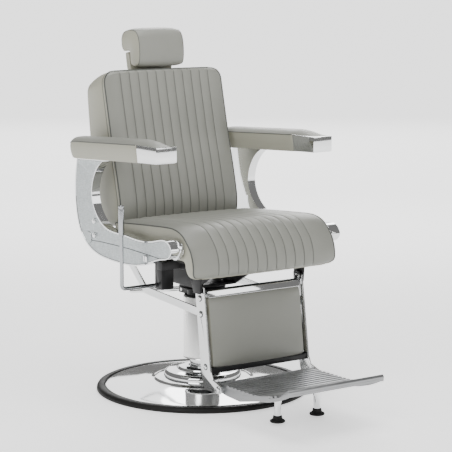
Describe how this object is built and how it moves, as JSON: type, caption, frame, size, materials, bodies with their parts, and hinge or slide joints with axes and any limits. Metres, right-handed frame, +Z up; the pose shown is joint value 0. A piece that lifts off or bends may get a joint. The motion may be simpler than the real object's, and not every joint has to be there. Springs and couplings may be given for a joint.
{
  "type": "hydraulic barber chair",
  "caption": "Hydraulic barber chair with channelled grey upholstery, chrome C-shaped side frames, round chrome base, leg rest and ribbed footrest.",
  "frame": {"origin": "on the floor, on the axis of the column, at the centre of the base's underside", "axes": "+Z up the column; the chair faces -Y; +X is the sitter's left"},
  "size_m": [0.729, 1.117, 1.1721],
  "materials": {
    "rubber": "matt black rubber",
    "cast_iron": "cast",
    "chrome": "polished",
    "steel": "turned",
    "black_steel": "semi-gloss black",
    "upholstery": "warm grey vinyl",
    "plywood": "raw",
    "cast_aluminium": "cast, polished edges",
    "black_grip": "gloss"
  },
  "bodies": {
    "base": {"rubber_ring": "rubber", "base_weight": "cast_iron", "base_dish": "chrome", "boss_cover": "chrome", "pump_cylinder": "chrome", "cylinder_bush": "steel", "flange_bolt_heads": "steel"},
    "ram": {"ram": "steel", "ram_piston": "steel", "thrust_bearing": "steel"},
    "seat": {"pump_head": "black_steel", "column_cover": "chrome", "turntable": "black_steel", "pedal_pin": "steel", "seat_mount": "black_steel", "seat_frame": "black_steel", "seat_board": "plywood", "seat_cushion": "upholstery", "side_plate_left": "chrome", "side_plate_right": "chrome", "front_hub_left": "chrome", "front_hub_right": "chrome", "arm_board_left": "plywood", "arm_board_right": "plywood", "arm_pad_left": "upholstery", "arm_pad_right": "upholstery", "arm_cap_left": "chrome", "arm_cap_right": "chrome", "seat_bolt_heads": "chrome", "leg_hanger_left": "black_steel", "leg_hanger_right": "black_steel", "leg_pivot_pins": "steel", "lever_bracket": "black_steel", "strut_cylinder": "black_steel"},
    "pedal": {"pump_pedal": "chrome"},
    "back": {"back_board": "upholstery", "back_frame": "black_steel", "back_pins": "steel", "headrest_guide": "steel", "back_cushion": "upholstery"},
    "headrest_stem": {"headrest_post": "steel", "headrest_pin": "steel", "headrest_tongue": "upholstery"},
    "headrest": {"headrest_plate": "chrome", "headrest_cushion": "upholstery"},
    "leg_rest": {"leg_bar_left": "chrome", "leg_bar_right": "chrome", "leg_pins": "chrome", "leg_pad": "upholstery", "leg_pad_board": "plywood", "leg_top_rail": "chrome", "leg_bottom_rail": "chrome"},
    "links": {"link_bar_left": "chrome", "link_bar_right": "chrome"},
    "footrest": {"footrest_plate": "cast_aluminium", "footrest_stems": "chrome", "footrest_feet": "rubber"},
    "recline_lever": {"lever_rod": "chrome", "lever_grip": "black_grip"},
    "strut": {"strut_rod": "steel"}
  },
  "joints": [
    {"name": "lift", "type": "slide", "parent": "base", "child": "ram", "axis": [0, 0, 1], "range_m": [0, 0.15]},
    {"name": "swivel", "type": "hinge", "parent": "ram", "child": "seat", "pos_m": [0, 0, 0], "axis": [0, 0, 1], "continuous": true},
    {"name": "foot_pump", "type": "hinge", "parent": "seat", "child": "pedal", "pos_m": [0, 0.072, 0.322], "axis": [-1, 0, 0], "range_deg": [0, 16], "stiffness_Nm_per_rad": 25, "springref_deg": -20.05},
    {"name": "back_recline", "type": "hinge", "parent": "seat", "child": "back", "pos_m": [0, 0.18, 0.508], "axis": [-1, 0, 0], "range_deg": [0, 50]},
    {"name": "leg_rest_swing", "type": "hinge", "parent": "seat", "child": "leg_rest", "pos_m": [0, -0.265, 0.392], "axis": [-1, 0, 0], "range_deg": [0, 50]},
    {"name": "link_swing", "type": "hinge", "parent": "leg_rest", "child": "links", "pos_m": [0, -0.275, 0.314], "axis": [-1, 0, 0], "range_deg": [-50, 0]},
    {"name": "strut_slide", "type": "slide", "parent": "seat", "child": "strut", "axis": [0, -1, 0], "range_m": [0, 0.06605]},
    {"name": "footrest_fold", "type": "hinge", "parent": "leg_rest", "child": "footrest", "pos_m": [0, -0.369, 0.094], "axis": [-1, 0, 0], "range_deg": [0, 60]},
    {"name": "headrest_height", "type": "slide", "parent": "back", "child": "headrest_stem", "axis": [0, 0.2079, 0.9781], "range_m": [0, 0.08]},
    {"name": "headrest_tilt", "type": "hinge", "parent": "headrest_stem", "child": "headrest", "pos_m": [0, 0.32378, 1.08008], "axis": [-1, 0, 0], "range_deg": [0, 25]},
    {"name": "recline_release", "type": "hinge", "parent": "seat", "child": "recline_lever", "pos_m": [0, -0.1, 0.385], "axis": [-1, 0, 0], "range_deg": [0, 16], "stiffness_Nm_per_rad": 8, "springref_deg": -17.19}
  ],
  "couplings": [
    {"joint": "leg_rest_swing", "follows": "back_recline", "ratio": 1},
    {"joint": "link_swing", "follows": "back_recline", "ratio": -1},
    {"joint": "strut_slide", "follows": "back_recline", "m_per_rad": 0.07557}
  ]
}
